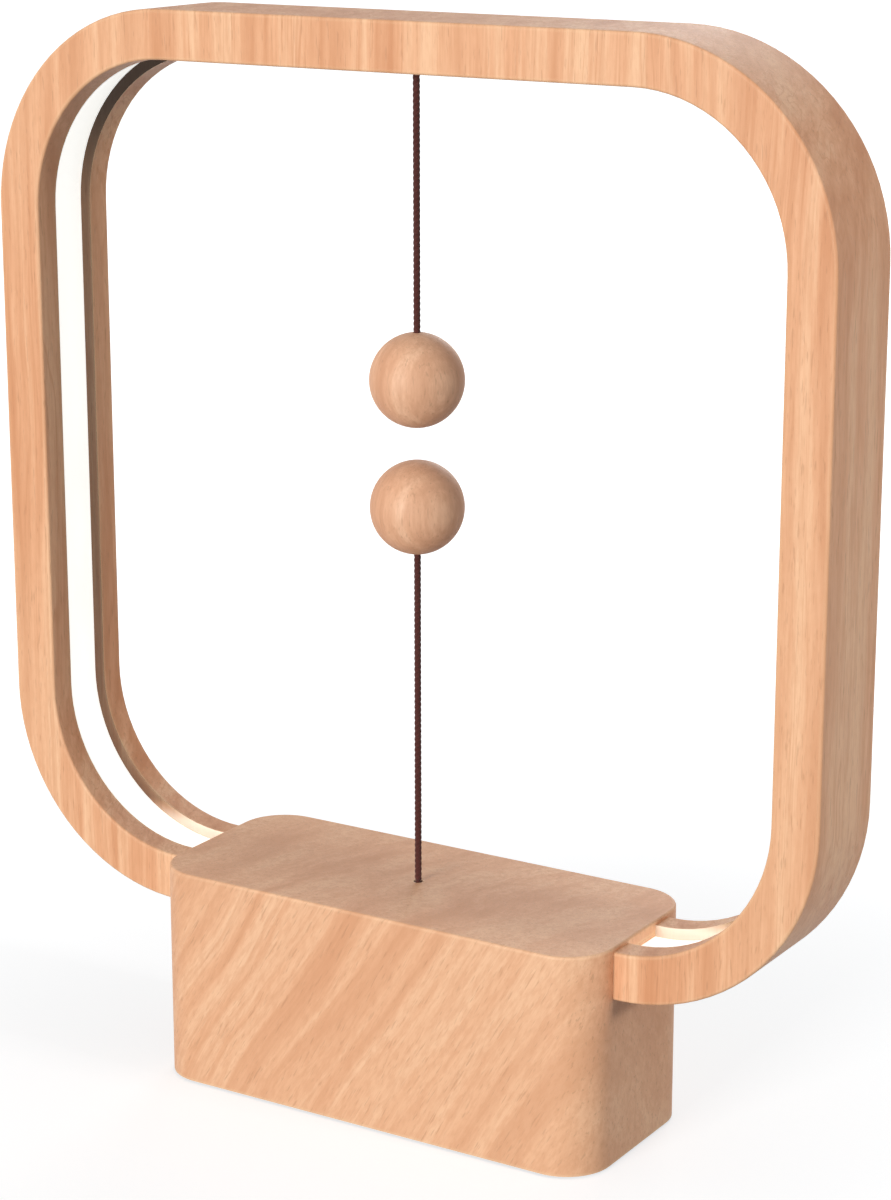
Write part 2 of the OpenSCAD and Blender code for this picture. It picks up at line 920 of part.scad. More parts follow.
module switch_lever() {
    color("darkorange")
        difference() {
            union() {
                translate([0, -lever_w / 2, lever_z - lever_t / 2])
                    cube([lever_l, lever_w, lever_t]);
                translate([0, 0, lever_z - lever_t / 2])
                    cylinder(d = lever_w, h = lever_t);
                cross_pin(lever_l, lever_z, hub_d, lever_w);
            }
            cross_pin(lever_l, lever_z, pin_d + 2 * seat_gap, lever_w + 2);
            translate([0, 0, lever_z - lever_t])
                cylinder(d = eye_d, h = 2 * lever_t);
        }
}

module lever_pin() {
    half = cheek_in + cheek_t;
    color("silver") {
        cross_pin(lever_l, lever_z, pin_d, 2 * (half + pin_head_t));
        for (s = [-1, 1])
            translate([0, s * (half + pin_head_t / 2), 0])
                cross_pin(lever_l, lever_z, 1.5 * pin_d, pin_head_t);
    }
}

// Runs its children, lying along Y, at the switch's two mounting holes.
module at_switch_screws() {
    for (s = [-1, 1])
        translate([switch_x + s * switch_hole_x, 0, switch_hole_z])
            rotate([90, 0, 0])
                children();
}

module switch_body() {
    color("black")
        difference() {
            translate([switch_x - switch_l / 2, -switch_d / 2, switch_z])
                cube([switch_l, switch_d, switch_h]);
            translate([switch_x, 0, switch_z - 1])
                cylinder(d = button_d + 2 * seat_gap, h = button_in + button_room);
            at_switch_screws()
                cylinder(d = switch_screw_d, h = switch_d + 1, center = true);
        }
}

module switch_button() {
    r = button_d / 2;
    color("red") {
        translate([switch_x, 0, button_z + r])
            sphere(r = r);
        translate([switch_x, 0, button_z + r])
            cylinder(r = r, h = button_out + button_in - r);
    }
}

module switch_screws() {
    half = cheek_in + cheek_t;
    color("silver")
        at_switch_screws()
            translate([0, 0, half])
                mirror([0, 0, 1])
                    screw(switch_screw_d, 2 * half);
}

// Two leads from the switch's top, out through the rear cheek and down to the circuit board.
module switch_leads() {
    z = switch_top;
    y = switch_lead_y;
    b = lead_bend;
    color("dimgray")
        for (x = switch_lead_x) {
            points = [
                [x, b / 3, z], [x, b / 3, z + 0.4 * b], [x, b / 2, z + 0.8 * b], [x, b, z + b],
                [x, y - b, z + b], [x, y - b / 3, z + 0.8 * b], [x, y, z + 0.2 * b], [x, y, pcb_top]
            ];
            tube(points, [for (p = points) [1, 0, 0]], lead_d, 8);
        }
}

// ---- power board ----

module at_board_screws(z) {
    e = board_screw_rim;
    for (x = [pcb_x0 + e, pcb_x1 - e], y = [pcb_y0 + e, pcb_y1 - 1.5 * e])
        translate([x, y, z])
            children();
}

module circuit_board() {
    color("darkgreen")
        difference() {
            translate([pcb_x0, pcb_y0, pcb_z])
                cube([pcb_x1 - pcb_x0, pcb_d, pcb_t]);
            at_board_screws(pcb_z - 1)
                cylinder(d = board_screw_d + 2 * run_gap, h = pcb_t + 2);
        }
}

// A coil and a chip beside the light's leads, a capacitor and a small chip beside the socket.
module board_parts() {
    color("gray") {
        translate([light_lead_x + part_gap, pcb_y1 - part_gap - 2 * coil_w, pcb_top])
            cube([coil_w, coil_w, coil_h]);
        translate([light_lead_x + part_gap / 2, pcb_y1 - part_gap / 2 - driver_w, pcb_top])
            cube([driver_l, driver_w, driver_h]);
        translate([-(inlet_w + capacitor_d) / 2 - part_gap, pcb_y1 - part_gap - capacitor_d / 2, pcb_top])
            cylinder(d = capacitor_d, h = capacitor_h);
        translate([-inlet_w / 2 - regulator_l, pcb_y0 + part_gap, pcb_top])
            cube([regulator_l, regulator_w, regulator_h]);
    }
}

module board_spacers() {
    color("gold")
        at_board_screws(spacer_z)
            difference() {
                cylinder(d = spacer_d, h = spacer_h);
                translate([0, 0, -1])
                    cylinder(d = board_screw_d + 2 * run_gap, h = spacer_h + 2);
            }
}

module board_screws() {
    color("silver")
        at_board_screws(pcb_top)
            mirror([0, 0, 1])
                screw(board_screw_d, pcb_top - spacer_z + board_screw_in);
}

// The socket's shell, open at the rear, with the contact tongue inside it.
module power_socket() {
    wall = inlet_wall;
    color("silver")
        translate([0, inlet_y1, inlet_z])
            rotate([90, 0, 0]) {
                difference() {
                    linear_extrude(inlet_l)
                        rounded_rect(inlet_w, inlet_h, inlet_h / 2 - eps);
                    translate([0, 0, -1])
                        linear_extrude(inlet_l)
                            rounded_rect(inlet_w - 2 * wall, inlet_h - 2 * wall, inlet_h / 2 - wall - eps);
                }
                translate([0, 0, inlet_l - tongue_back - tongue_l])
                    linear_extrude(tongue_l)
                        square([tongue_w, tongue_t], center = true);
            }
}

base_shell();
base_plate();
plate_screws();
rubber_feet();
ballast_plate();
ring_frame();
light_diffuser();
light_board();
light_chips();
light_leads();
string_socket();
upper_knot();
upper_bend();
upper_string();
upper_ball();
upper_magnet();
upper_plug();
lower_ball();
lower_magnet();
lower_plug();
lower_string();
lower_bend();
string_guide();
inner_string();
pull_bead();
return_spring();
switch_bracket();
bracket_screws();
switch_lever();
lever_pin();
switch_body();
switch_button();
switch_screws();
switch_leads();
circuit_board();
board_parts();
board_spacers();
board_screws();
power_socket();
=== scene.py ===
"""A magnetic balance lamp: a rounded wooden ring with a recessed light strip stands in a wooden base. Two
wooden balls hang towards each other in its middle, one on a string from the top and one on a string from
the base.

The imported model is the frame. This script dresses it: twisted strings, wood, metal, plastic and the light
strip, then the floor, the lamps and the camera. Every length is in metres, in the frame's own axes.
"""
import json
import math

import bpy
import numpy as np
from mathutils import Matrix, Vector


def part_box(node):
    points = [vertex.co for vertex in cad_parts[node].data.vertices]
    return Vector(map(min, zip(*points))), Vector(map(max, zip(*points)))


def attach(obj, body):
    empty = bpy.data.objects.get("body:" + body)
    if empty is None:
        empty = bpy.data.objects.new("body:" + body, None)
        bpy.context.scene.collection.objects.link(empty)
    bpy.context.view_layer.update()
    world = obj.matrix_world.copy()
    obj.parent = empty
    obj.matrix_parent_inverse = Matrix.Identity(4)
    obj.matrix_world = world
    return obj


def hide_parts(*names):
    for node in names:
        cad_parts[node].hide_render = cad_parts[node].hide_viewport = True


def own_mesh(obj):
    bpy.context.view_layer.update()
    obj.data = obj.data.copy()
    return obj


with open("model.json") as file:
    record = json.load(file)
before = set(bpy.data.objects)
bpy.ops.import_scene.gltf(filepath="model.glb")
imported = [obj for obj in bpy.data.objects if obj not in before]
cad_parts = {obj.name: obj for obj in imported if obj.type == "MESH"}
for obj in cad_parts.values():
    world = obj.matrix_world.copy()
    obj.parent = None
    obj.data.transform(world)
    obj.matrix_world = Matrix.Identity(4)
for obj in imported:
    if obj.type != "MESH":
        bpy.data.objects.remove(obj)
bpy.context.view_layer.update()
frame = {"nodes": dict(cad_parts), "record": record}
NODES = frame["nodes"]


# ---------------------------------------------------------------- camera

# angles in degrees, and the focal length in pixels of the 891 by 1200 image
CAMERA_AZIMUTH = 31.785
CAMERA_ELEVATION = 14.988
CAMERA_DISTANCE = 0.644137
CAMERA_TARGET = Vector((0.006952, 0, 0.113163))
FOCAL_PIXELS = 3060.557
IMAGE_HEIGHT = 1200
SENSOR_MM = 36
NEAREST_SEEN = 0.01
FARTHEST_SEEN = 50


def aim(obj, azimuth, elevation, distance):
    """Stands the object at these angles in degrees, 0 being the front, and points it at CAMERA_TARGET."""
    a, e = math.radians(azimuth), math.radians(elevation)
    way = Vector((math.sin(a) * math.cos(e), -math.cos(a) * math.cos(e), math.sin(e)))
    obj.location = CAMERA_TARGET + way * distance
    obj.rotation_mode = "QUATERNION"
    obj.rotation_quaternion = (-way).to_track_quat("-Z", "Y")


camera_data = bpy.data.cameras.new("camera")
camera = bpy.data.objects.new("camera", camera_data)
bpy.context.scene.collection.objects.link(camera)
aim(camera, CAMERA_AZIMUTH, CAMERA_ELEVATION, CAMERA_DISTANCE)
# the image is upright, so AUTO lays the sensor's width along its height
camera_data.sensor_fit = "AUTO"
camera_data.sensor_width = SENSOR_MM
camera_data.lens = FOCAL_PIXELS * SENSOR_MM / IMAGE_HEIGHT
camera_data.clip_start = NEAREST_SEEN
camera_data.clip_end = FARTHEST_SEEN
bpy.context.scene.camera = camera


# ---------------------------------------------------------------- colours

def linear(value):
    """A screen value from 0 to 255 as the share of light that shaders take."""
    value /= 255
    return value / 12.92 if value <= 0.04045 else ((value + 0.055) / 1.055) ** 2.4


def tone(red, green, blue):
    """A colour as it looks on a screen, in a shader's linear values."""
    return (linear(red), linear(green), linear(blue), 1.0)


def shade(colour, factor):
    """The colour made darker or paler by a factor, and never brighter than white."""
    return tuple(min(1.0, factor * channel) for channel in colour[:3]) + (1.0,)


# ---------------------------------------------------------------- node helpers

# a Mix node keeps the sockets of every data type, and these are the ones for colours
MIX_FIRST, MIX_SECOND, MIX_RESULT = 6, 7, 2
BEVEL_SAMPLES = 4


class Nodes:
    """Fills one node tree, from left to right."""

    def __init__(self, tree):
        self.tree = tree
        self.tree.nodes.clear()

    def add(self, kind, settings=None, **inputs):
        """A new node with these settings and inputs. An input's name has _ where its socket has a space."""
        node = self.tree.nodes.new(kind)
        for key, value in (settings or {}).items():
            setattr(node, key, value)
        self.fill(node, inputs)
        return node

    def fill(self, node, inputs):
        """Gives the node's inputs their values by name."""
        for key, value in inputs.items():
            self.put(node.inputs[key.replace("_", " ")], value)

    def put(self, socket, value):
        """Links what comes from another node, and writes a fixed value on the socket itself."""
        if isinstance(value, bpy.types.NodeSocket):
            self.tree.links.new(value, socket)
        else:
            socket.default_value = value

    def pair(self, kind, operation, first, second):
        """The outputs of a node that works on two inputs."""
        node = self.add(kind, {"operation": operation})
        self.put(node.inputs[0], first)
        self.put(node.inputs[1], second)
        return node.outputs

    def math(self, operation, first, second=0.0):
        return self.pair("ShaderNodeMath", operation, first, second)["Value"]

    def vector_math(self, operation, first, second=(0, 0, 0)):
        """The node's outputs: Vector for a sum, Value for a length or a dot product."""
        return self.pair("ShaderNodeVectorMath", operation, first, second)

    def axis(self, vector, name):
        """One coordinate of a vector: X, Y or Z."""
        return self.add("ShaderNodeSeparateXYZ", Vector=vector).outputs[name]

    def span(self, value, low, high, start=0.0, end=1.0):
        """Takes low..high to start..end, smoothly, and holds it there."""
        node = self.add("ShaderNodeMapRange", {"interpolation_type": "SMOOTHSTEP"})
        for socket, number in zip(node.inputs[:5], (value, low, high, start, end)):
            self.put(socket, number)
        return node.outputs[0]


class Shader(Nodes):
    """One material with a Principled surface."""

    def __init__(self, name):
        self.material = bpy.data.materials.new(name)
        self.material.use_nodes = True
        super().__init__(self.material.node_tree)
        self.surface = self.add("ShaderNodeBsdfPrincipled")
        self.add("ShaderNodeOutputMaterial", Surface=self.surface.outputs[0])
        coordinates = self.add("ShaderNodeTexCoord").outputs
        self.place = coordinates["Object"]
        self.facing = coordinates["Normal"]

    def set(self, **inputs):
        self.fill(self.surface, inputs)

    def stretched(self, vector, scale):
        """Draws a pattern out along the axes whose scale is small."""
        return self.add("ShaderNodeMapping", Vector=vector, Scale=scale).outputs[0]

    def turned(self, vector, rows):
        """The vector in axes of its own, given as three rows."""
        return self.add("ShaderNodeMapping", Vector=vector, Rotation=Matrix(rows).to_euler()).outputs[0]

    def noise(self, vector, scale, detail, roughness=0.5):
        node = self.add("ShaderNodeTexNoise", Vector=vector, Scale=scale, Detail=detail, Roughness=roughness)
        return node.outputs[0]

    def mix(self, share, first, second):
        node = self.add("ShaderNodeMix", {"data_type": "RGBA"}, Factor=share)
        self.put(node.inputs[MIX_FIRST], first)
        self.put(node.inputs[MIX_SECOND], second)
        return node.outputs[MIX_RESULT]

    def ramp(self, value, stops):
        """Takes a value to a colour, between stops of a position and a colour."""
        node = self.add("ShaderNodeValToRGB", Fac=value)
        elements = node.color_ramp.elements
        while len(elements) < len(stops):
            elements.new(0.5)
        for element, (position, colour) in zip(elements, stops):
            element.position = position
            element.color = colour
        return node.outputs[0]

    def bump(self, height, strength, distance):
        node = self.add("ShaderNodeBump", Height=height, Strength=strength, Distance=distance)
        self.set(Normal=node.outputs[0])

    def edges(self, radius, low, high):
        """1 along sharp edges and small roundings, 0 on open surfaces."""
        rounded = self.add("ShaderNodeBevel", {"samples": BEVEL_SAMPLES}, Radius=radius).outputs[0]
        plain = self.add("ShaderNodeNewGeometry").outputs["Normal"]
        likeness = self.vector_math("DOT_PRODUCT", rounded, plain)["Value"]
        return self.span(self.math("SUBTRACT", 1.0, likeness), low, high)


# ---------------------------------------------------------------- wood

# how far from an edge the wood is painted paler, as a painted highlight
EDGE_RADIUS = 0.0012
# a noise keeps to about this reach on either side of its middle
NOISE_MIDDLE = 0.5
NOISE_REACH = 0.25

# the groove in the ring: half its width, and how far beyond it the painted light and shade of its walls fades
# out
GROOVE_HALF = 0.006
GROOVE_FADE_START = 0.00002
GROOVE_FADE_END = 0.00020
# heights between which the groove's walls change, from a pale painted glow to painted shade in brown and then
# nearly black
PAINTED_GLOW_END = (0.0482, 0.0525)
PAINTED_SHADE_START = (0.0482, 0.0535)
PAINTED_DEEP_SHADE_START = (0.185, 0.215)


def paint_groove_light_and_shade(s, colour, dark):
    """Paints light and shade on the groove's walls: a pale painted glow along the bottom, painted shade in
    brown above it and nearly black at the top.
    """
    from_middle = s.math("ABSOLUTE", s.axis(s.place, "Y"))
    sideways = s.math("ABSOLUTE", s.axis(s.facing, "Y"))
    inside = s.span(from_middle, low=GROOVE_HALF + GROOVE_FADE_START, high=GROOVE_HALF + GROOVE_FADE_END,
                    start=1.0, end=0.0)
    walls = s.math("MULTIPLY", inside, s.span(sideways, low=0.6, high=0.9))
    height = s.axis(s.place, "Z")
    # painted light: the lowest walls are made pale, as if lit by the strip
    pale = s.span(height, *PAINTED_GLOW_END, start=0.75, end=0.0)
    colour = s.mix(s.math("MULTIPLY", walls, pale), colour, tone(238, 227, 212))
    # painted shade: the walls higher up are made brown, and nearly black near the top
    brown = s.span(height, *PAINTED_SHADE_START, end=0.70)
    black = s.span(height, *PAINTED_DEEP_SHADE_START, end=0.27)
    painted_shade = s.math("ADD", brown, black)
    return s.mix(s.math("MULTIPLY", walls, painted_shade), colour, shade(dark, 0.04))


def wood(name, across, along, dark, middle, light, band, start=0.0, sway=0.0012, bend=0.0, roughness=0.5,
         lined=0.40, mottled=0.15, edge_highlight=0.55, grooved=False):
    """Oiled pale wood. across is the way from one growth band to the next, along is the way the fibres run,
    and band is the width of a growth band. start moves the whole pattern across. sway and bend move the
    bands to and fro, over a short and a long way. lined is the strength of the thin lines in the bands,
    mottled that of a fine mottling, and edge_highlight that of the painted highlight along the paler edges.
    grooved wood has the light's groove, with painted light and shade on its walls."""
    s = Shader(name)
    across = Vector(across).normalized()
    along = (Vector(along) - across * across.dot(Vector(along))).normalized()
    axes = (across, along.cross(across), along)
    grain = s.turned(s.place, axes)
    if start:
        grain = s.vector_math("ADD", grain, (start, 0, 0))["Vector"]

    # the bands wander from side to side, so they are drawn at places that are moved a little
    short = s.math("SUBTRACT", s.noise(s.stretched(grain, (1, 1, 0.35)), scale=45, detail=2), NOISE_MIDDLE)
    short = s.math("MULTIPLY", short, sway / NOISE_REACH)
    long = s.math("SUBTRACT", s.noise(grain, scale=13, detail=1), NOISE_MIDDLE)
    long = s.math("MULTIPLY", long, bend / NOISE_REACH)
    drift = s.add("ShaderNodeCombineXYZ", X=s.math("ADD", short, long)).outputs[0]
    warped = s.vector_math("ADD", grain, drift)["Vector"]

    # growth bands, in sizes that follow the band's width
    bands = s.noise(s.stretched(warped, (1, 0.28, 0.035)), scale=0.55 / band, detail=4, roughness=0.62)
    clouds = s.noise(s.stretched(warped, (1, 0.6, 0.16)), scale=0.16 / band, detail=2)
    streaks = s.noise(s.stretched(warped, (1, 0.7, 0.03)), scale=2.4 / band, detail=3, roughness=0.6)
    rings = s.noise(s.stretched(warped, (1, 0.3, 0.02)), scale=1.15 / band, detail=2)
    from_line = s.math("ABSOLUTE", s.math("SUBTRACT", rings, 0.52))
    lines = s.span(from_line, low=0.0, high=0.028, start=1.0, end=0.0)

    # fibres, flecks and pores, which are the same size in every wood
    fibres = s.noise(s.stretched(grain, (1, 1, 0.025)), scale=4200, detail=3, roughness=0.65)
    mottle = s.noise(s.stretched(grain, (1, 0.9, 0.30)), scale=1000, detail=2, roughness=0.6)
    flecks = s.span(s.noise(s.stretched(grain, (1, 0.8, 0.11)), scale=1900, detail=2), low=0.60, high=0.72)
    pores = s.span(s.noise(s.stretched(grain, (1, 1, 0.06)), scale=5200, detail=1), low=0.66, high=0.76)

    # end grain, where the surface cuts the fibres, is darker and full of pores
    ends = s.span(s.math("ABSOLUTE", s.axis(s.turned(s.facing, axes), "Z")), low=0.55, high=0.98)
    dots = s.span(s.noise(s.stretched(grain, (1, 1, 0.2)), scale=3600, detail=2), low=0.52, high=0.66)

    colour = s.ramp(bands, ((0.34, dark), (0.50, middle), (0.62, light)))
    deep = shade(dark, 0.62)
    layers = (
        (s.span(streaks, low=0.42, high=0.68, end=0.42), dark),
        (s.math("MULTIPLY", lines, lined), dark),
        (s.span(clouds, low=0.42, high=0.70, end=0.35), light),
        (s.span(fibres, low=0.35, high=0.75, end=0.20), dark),
        (s.span(mottle, low=0.38, high=0.66, end=mottled), dark),
        (s.math("MULTIPLY", flecks, 0.30), deep),
        (s.math("MULTIPLY", pores, 0.22), deep),
        (s.math("MULTIPLY", ends, 0.16), deep),
        (s.math("MULTIPLY", s.math("MULTIPLY", ends, dots), 0.22), deep),
    )
    for share, over in layers:
        colour = s.mix(share, colour, over)

    # painted highlight: edges and small roundings are painted paler, as if they caught the light
    if edge_highlight:
        edges = s.edges(EDGE_RADIUS, low=0.01, high=0.14)
        colour = s.mix(s.math("MULTIPLY", edges, edge_highlight), colour, shade(light, 1.22))
    # painted light and shade on the walls of the light's groove
    if grooved:
        colour = paint_groove_light_and_shade(s, colour, dark)

    height = s.math("ADD", s.math("MULTIPLY", fibres, 0.6), s.math("MULTIPLY", pores, -0.8))
    height = s.math("ADD", height, s.math("MULTIPLY", flecks, -0.5))
    uneven = s.span(fibres, low=0.3, high=0.7, start=roughness - 0.05, end=roughness + 0.10)
    s.set(Base_Color=colour, Roughness=uneven, Specular_IOR_Level=0.35)
    s.bump(height, strength=0.35, distance=0.00012)
    return s.material


ring_wood = wood(
    "ring_wood", across=(0.90, 0.43, 0), along=(0, 0, 1),
    dark=tone(216, 151, 108), middle=tone(241, 183, 141), light=tone(252, 204, 163),
    band=0.0030, start=0.43, lined=0.50, grooved=True)
# the base's growth bands run slantwise through the block
base_wood = wood(
    "base_wood", across=(0.834, -0.248, -0.479), along=(0.5, 0, 0.87),
    dark=tone(222, 162, 122), middle=tone(242, 188, 148), light=tone(251, 204, 165),
    band=0.0042, sway=0.0026, bend=0.005, lined=0.18, mottled=0.34)
# the balls' edges are only the rims of their plugs, which get no painted highlight
ball_wood = wood(
    "ball_wood", across=(0.92, -0.38, 0), along=(0, 0, 1),
    dark=tone(217, 161, 126), middle=tone(241, 190, 154), light=tone(253, 207, 172),
    band=0.0034, roughness=0.55, lined=0.18, mottled=0.30, edge_highlight=0.0)


# ---------------------------------------------------------------- other materials

def metal(name, colour, roughness, brushed=(1, 1, 1), depth=0.2):
    """Metal with fine marks, drawn out along the small axes of brushed. depth is how deep they look."""
    s = Shader(name)
    marks = s.noise(s.stretched(s.place, brushed), scale=2600, detail=3, roughness=0.6)
    cloud = s.noise(s.place, scale=160, detail=3)
    dark = shade(colour, 0.72)
    body = s.mix(s.span(marks, low=0.35, high=0.7, end=0.5), colour, dark)
    body = s.mix(s.span(cloud, low=0.45, high=0.7, end=0.25), body, dark)
    uneven = s.span(marks, low=0.3, high=0.7, start=roughness - 0.06, end=roughness + 0.10)
    s.set(Base_Color=body, Metallic=1.0, Roughness=uneven)
    s.bump(marks, strength=depth, distance=0.00005)
    return s.material


def plastic(name, colour, roughness, speck=1400, depth=0.2, patch=0.12):
    """Moulded plastic or rubber. speck is the scale of its fine texture, depth how deep that looks, and
    patch how uneven its colour is."""
    s = Shader(name)
    grit = s.noise(s.place, scale=speck, detail=2)
    cloud = s.noise(s.place, scale=90, detail=3)
    dark = shade(colour, 0.6)
    body = s.mix(s.span(cloud, low=0.4, high=0.7, end=patch), colour, dark)
    body = s.mix(s.span(grit, low=0.5, high=0.72, end=patch), body, dark)
    uneven = s.span(grit, low=0.3, high=0.7, start=roughness - 0.06, end=roughness + 0.08)
    s.set(Base_Color=body, Roughness=uneven, Specular_IOR_Level=0.4)
    s.bump(grit, strength=depth, distance=0.00008)
    return s.material


def diffuser():
    """Milky plastic over the lit strip."""
    s = Shader("milky_diffuser")
    grit = s.noise(s.place, scale=1600, detail=2)
    cloud = s.noise(s.place, scale=60, detail=2)
    body = s.mix(s.span(cloud, low=0.4, high=0.7, end=0.5), tone(252, 252, 248), tone(246, 246, 242))
    s.set(Base_Color=body, Roughness=s.span(grit, low=0.3, high=0.7, start=0.45, end=0.6))
    s.set(Emission_Color=tone(252, 254, 251), Emission_Strength=0.735)
    s.bump(grit, strength=0.12, distance=0.00005)
    return s.material


def circuit(name, mask, track, pitch):
    """Solder mask with faint copper tracks under it, one for each pitch."""
    s = Shader(name)
    tracks = s.add(
        "ShaderNodeTexBrick", {"offset": 0.37, "squash": 1.7, "squash_frequency": 3}, Vector=s.place,
        Scale=1.0, Mortar_Size=pitch * 0.10, Brick_Width=pitch * 1.9, Row_Height=pitch).outputs["Fac"]
    grit = s.noise(s.place, scale=900, detail=2)
    body = s.mix(s.math("MULTIPLY", tracks, 0.8), mask, track)
    body = s.mix(s.span(grit, low=0.4, high=0.7, end=0.2), body, shade(mask, 0.6))
    s.set(Base_Color=body, Roughness=s.span(grit, low=0.3, high=0.7, start=0.28, end=0.4))
    s.bump(tracks, strength=0.3, distance=0.00005)
    return s.material


def twisted_cotton():
    """Dark twisted cotton: fine yarns that wind round each ply, a little fluff and uneven dye."""
    s = Shader("twisted_cotton")
    ply = s.add("ShaderNodeUVMap", {"uv_map": "ply"}).outputs[0]
    yarns = s.noise(s.stretched(ply, (26, 5, 1)), scale=1.0, detail=2, roughness=0.6)
    fluff = s.noise(s.place, scale=5200, detail=2)
    dye = s.noise(s.place, scale=150, detail=2)
    body = s.mix(s.span(yarns, low=0.3, high=0.7), tone(58, 25, 23), tone(102, 55, 50))
    body = s.mix(s.span(dye, low=0.35, high=0.7, end=0.4), body, tone(78, 34, 29))
    body = s.mix(s.span(fluff, low=0.6, high=0.75, end=0.3), body, tone(126, 86, 79))
    s.set(Base_Color=body, Roughness=0.85, Specular_IOR_Level=0.2, Sheen_Weight=0.25, Sheen_Roughness=0.5)
    s.bump(s.math("ADD", yarns, s.math("MULTIPLY", fluff, 0.4)), strength=0.5, distance=0.00006)
    return s.material


cotton = twisted_cotton()

# the finish of each material slot in the record
FINISH = {
    "wood": ring_wood,
    "base_wood": base_wood,
    "ball_wood": ball_wood,
    "diffuser": diffuser(),
    "string": cotton,
    "steel": metal("zinc_plated_steel", tone(196, 198, 202), roughness=0.30, brushed=(1, 1, 0.15)),
    "brass": metal("turned_brass", tone(214, 176, 104), roughness=0.26, brushed=(0.2, 0.2, 1)),
    "ballast": metal("rolled_steel", tone(120, 122, 126), roughness=0.45, brushed=(0.06, 1, 1), depth=0.35),
    "magnet": metal("nickel_plate", tone(212, 212, 214), roughness=0.16, depth=0.08),
    "dark_plastic": plastic("dark_plastic", tone(44, 44, 47), roughness=0.50),
    "light_plastic": plastic("light_plastic", tone(226, 226, 221), roughness=0.45),
    "orange_plastic": plastic("orange_plastic", tone(228, 124, 48), roughness=0.40),
    "red_plastic": plastic("red_plastic", tone(186, 44, 36), roughness=0.38),
    "rubber": plastic("matt_rubber", tone(40, 40, 42), roughness=0.78, speck=2400, depth=0.5, patch=0.3),
    "lead": plastic("lead_sleeve", tone(150, 34, 32), roughness=0.42, speck=800, depth=0.1),
    "chip": plastic("phosphor_chip", tone(240, 222, 140), roughness=0.35, speck=3000, depth=0.15),
    "board": circuit("green_board", mask=tone(22, 92, 50), track=tone(60, 140, 84), pitch=0.0021),
    "white_board": circuit("white_board", mask=tone(240, 240, 236), track=tone(222, 220, 208), pitch=0.0030),
}
SLOT_OF = {part["node"]: part["material_slot"] for part in frame["record"]["subparts"]}
for node, obj in NODES.items():
    for holder in obj.material_slots:
        holder.material = FINISH[SLOT_OF[node]]


# ---------------------------------------------------------------- strings

STRING_DIAMETER = 0.0014
UPPER_STRING_TOP = 0.2236
UPPER_STRING_END = 0.1665
LOWER_STRING_TOP = 0.1254
LOWER_STRING_END = 0.04945

PLIES = 3
PLY_ANGLE = 2 * math.pi / PLIES
# three plies that touch each other fill the string when each has this share of its radius
PLY_RADIUS = 1 / (1 + 2 / math.sqrt(3))
# how much of the depth between the plies shows, as soft yarn fills the rest
PLY_DEPTH = 0.36
TWIST_PITCH = 0.0036

# how finely a string, its knots and bends and a cord's route are drawn
YARN_SIDES = 36
YARN_STEP = 0.00014
BEAD_RINGS = 40
BEAD_END_ANGLE = 0.02
STUB_RINGS = 7


def ply_turn(angle, height):
    """How far round its ply a place on the string lies, from 0 to PLY_ANGLE."""
    return (angle - height * 2 * math.pi / TWIST_PITCH + PLY_ANGLE / 2) % PLY_ANGLE


def twisted_points(heights, radii):
    """The points of a laid string on the middle axis, ring by ring, and then the middle of each end."""
    angle = np.arange(YARN_SIDES) * 2 * math.pi / YARN_SIDES
    from_ply = ply_turn(angle[None, :], heights[:, None]) - PLY_ANGLE / 2
    off_middle = 1 - PLY_RADIUS
    rest = PLY_RADIUS ** 2 - (off_middle * np.sin(from_ply)) ** 2
    lobe = off_middle * np.cos(from_ply) + np.sqrt(np.maximum(rest, 0))
    reach = radii[:, None] * (1 + PLY_DEPTH * (lobe - lobe.mean()))
    levels = np.repeat(heights[:, None], YARN_SIDES, 1)
    points = np.stack([reach * np.cos(angle), reach * np.sin(angle), levels], 2)
    return [tuple(p) for p in points.reshape(-1, 3)] + [(0, 0, heights[0]), (0, 0, heights[-1])]


def tube_faces(rings):
    """The faces of a closed tube of so many rings, whose ends have their middle points last."""
    sides = [(j, (j + 1) % YARN_SIDES) for j in range(YARN_SIDES)]
    faces = []
    for ring in range(rings - 1):
        low, high = ring * YARN_SIDES, (ring + 1) * YARN_SIDES
        faces += [(low + j, high + j, high + k, low + k) for j, k in sides]
    last = (rings - 1) * YARN_SIDES
    first_middle = rings * YARN_SIDES
    faces += [(first_middle, j, k) for j, k in sides]
    faces += [(first_middle + 1, last + k, last + j) for j, k in sides]
    return faces


def twisted_yarn(name, heights, radii, node, body):
    """A laid string with a mean radius at each height, which stands for a node."""
    mesh = bpy.data.meshes.new(name)
    mesh.from_pydata(twisted_points(np.asarray(heights), np.asarray(radii)), [], tube_faces(len(heights)))
    mesh.update()
    layer = mesh.uv_layers.new(name="ply")
    for loop in mesh.loops:
        x, y, z = mesh.vertices[loop.vertex_index].co
        layer.data[loop.index].uv = (ply_turn(math.atan2(y, x), z) / PLY_ANGLE, z / TWIST_PITCH)
    for face in mesh.polygons:
        face.use_smooth = True
    mesh.materials.append(cotton)
    obj = bpy.data.objects.new(name, mesh)
    bpy.context.scene.collection.objects.link(obj)
    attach(obj, body)
    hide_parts(node)
    return obj


def cord_yarn(name, top, bottom, node, body):
    """A straight length of string."""
    steps = int((top - bottom) / YARN_STEP) + 1
    heights, radii = np.linspace(top, bottom, steps), np.full(steps, STRING_DIAMETER / 2)
    return twisted_yarn(name, heights, radii, node, body)


